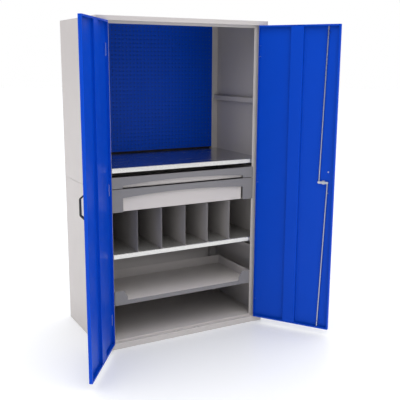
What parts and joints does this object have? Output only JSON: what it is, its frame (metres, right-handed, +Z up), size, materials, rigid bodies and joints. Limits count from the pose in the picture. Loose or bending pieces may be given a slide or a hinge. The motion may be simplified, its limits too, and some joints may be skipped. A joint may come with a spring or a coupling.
{
  "type": "tool cabinet with doors",
  "caption": "Tall sheet-steel tool cabinet with two hinged doors, perforated tool panel, worktop, drawers with recessed grips, divided shelf, pull-out tray and rod lock.",
  "frame": {"origin": "middle of the cabinet's footprint on the floor", "axes": "+X to the right seen from the front, +Y to the back, +Z up"},
  "size_m": [1.5644, 1.0505, 1.9],
  "materials": {
    "carcass_paint": "light warm grey powder coat, satin",
    "door_paint": "blue powder coat, satin",
    "drawer_paint": "mid grey powder coat, satin",
    "galvanised": "zinc-coated sheet, semi-gloss",
    "zinc_plate": "bright zinc plate",
    "lock_chrome": "polished chrome plate",
    "handle_black": "black, matt"
  },
  "bodies": {
    "cabinet": {"roof_panel": "carcass_paint", "header_rail": "carcass_paint", "base_front_rail": "carcass_paint", "base_rear_rail": "carcass_paint", "base_side_rails": "carcass_paint", "floor_panel": "carcass_paint", "front_post_left": "carcass_paint", "front_post_right": "carcass_paint", "rear_post_left": "carcass_paint", "rear_post_right": "carcass_paint", "side_panel_lower_left": "carcass_paint", "side_panel_lower_right": "carcass_paint", "side_panel_upper_left": "carcass_paint", "side_panel_upper_right": "carcass_paint", "back_panel_lower": "carcass_paint", "back_panel_upper": "carcass_paint", "side_stiffeners": "carcass_paint", "frame_hinge_leaves": "door_paint", "hinge_pins": "door_paint", "perforated_panel": "door_paint", "worktop": "galvanised", "worktop_bearers": "galvanised", "divider_shelf": "galvanised", "shelf_bearers": "galvanised", "shelf_dividers": "carcass_paint", "drawer_runner_plates": "carcass_paint", "tray_runner_plates": "carcass_paint", "small_drawer_fixed_rails": "zinc_plate", "large_drawer_fixed_rails": "zinc_plate", "tray_fixed_rails": "zinc_plate"},
    "left_door": {"door_pan_left": "door_paint", "door_stiffener_left": "door_paint", "door_hinge_leaves_left": "door_paint", "door_handle_left": "handle_black", "handle_screws_left": "zinc_plate"},
    "right_door": {"door_pan_right": "door_paint", "door_stiffener_right": "door_paint", "door_hinge_leaves_right": "door_paint", "door_handle_right": "handle_black", "handle_screws_right": "zinc_plate", "lock_housing": "lock_chrome", "lock_nut": "zinc_plate", "rod_guides": "door_paint"},
    "lock_cam": {"lock_cam": "zinc_plate", "lock_plug": "lock_chrome", "cam_screw": "zinc_plate"},
    "upper_rod": {"upper_lock_rod": "zinc_plate"},
    "lower_rod": {"lower_lock_rod": "zinc_plate"},
    "small_drawer": {"small_drawer_front": "drawer_paint", "small_drawer_box": "carcass_paint", "small_drawer_inner_rails": "zinc_plate"},
    "small_drawer_middle": {"small_drawer_middle_rails": "zinc_plate"},
    "large_drawer": {"large_drawer_front": "drawer_paint", "large_drawer_box": "carcass_paint", "large_drawer_inner_rails": "zinc_plate"},
    "large_drawer_middle": {"large_drawer_middle_rails": "zinc_plate"},
    "tray": {"tray": "drawer_paint", "tray_inner_rails": "zinc_plate"},
    "tray_middle": {"tray_middle_rails": "zinc_plate"}
  },
  "joints": [
    {"name": "left_door_hinge", "type": "hinge", "parent": "cabinet", "child": "left_door", "pos_m": [-0.495, -0.316, 0.95575], "axis": [0, 0, -1], "range_deg": [-124.7, 5.3]},
    {"name": "right_door_hinge", "type": "hinge", "parent": "cabinet", "child": "right_door", "pos_m": [0.495, -0.316, 0.95575], "axis": [0, 0, 1], "range_deg": [-124.7, 5.3]},
    {"name": "lock_turn", "type": "hinge", "parent": "right_door", "child": "lock_cam", "pos_m": [0.72502, -0.67367, 0.9575], "axis": [0.8221, 0.5693, 0], "range_deg": [0, 90]},
    {"name": "upper_rod_pivot", "type": "hinge", "parent": "lock_cam", "child": "upper_rod", "pos_m": [0.71236, -0.65081, 0.9575], "axis": [0.8221, 0.5693, 0], "range_deg": [-91.64, 0]},
    {"name": "lower_rod_pivot", "type": "hinge", "parent": "lock_cam", "child": "lower_rod", "pos_m": [0.74196, -0.69356, 0.9575], "axis": [0.8221, 0.5693, 0], "range_deg": [-91.63, 0]},
    {"name": "small_drawer_slide", "type": "slide", "parent": "cabinet", "child": "small_drawer", "axis": [0, -1, 0], "range_m": [0, 0.38]},
    {"name": "small_drawer_middle_slide", "type": "slide", "parent": "cabinet", "child": "small_drawer_middle", "axis": [0, -1, 0], "range_m": [0, 0.19]},
    {"name": "large_drawer_slide", "type": "slide", "parent": "cabinet", "child": "large_drawer", "axis": [0, -1, 0], "range_m": [0, 0.38]},
    {"name": "large_drawer_middle_slide", "type": "slide", "parent": "cabinet", "child": "large_drawer_middle", "axis": [0, -1, 0], "range_m": [0, 0.19]},
    {"name": "tray_slide", "type": "slide", "parent": "cabinet", "child": "tray", "axis": [0, -1, 0], "range_m": [0, 0.38]},
    {"name": "tray_middle_slide", "type": "slide", "parent": "cabinet", "child": "tray_middle", "axis": [0, -1, 0], "range_m": [0, 0.19]}
  ],
  "couplings": [
    {"joint": "upper_rod_pivot", "follows": "lock_turn", "ratio": -1.0182},
    {"joint": "lower_rod_pivot", "follows": "lock_turn", "ratio": -1.0181},
    {"joint": "small_drawer_middle_slide", "follows": "small_drawer_slide", "ratio": 0.5},
    {"joint": "large_drawer_middle_slide", "follows": "large_drawer_slide", "ratio": 0.5},
    {"joint": "tray_middle_slide", "follows": "tray_slide", "ratio": 0.5}
  ]
}
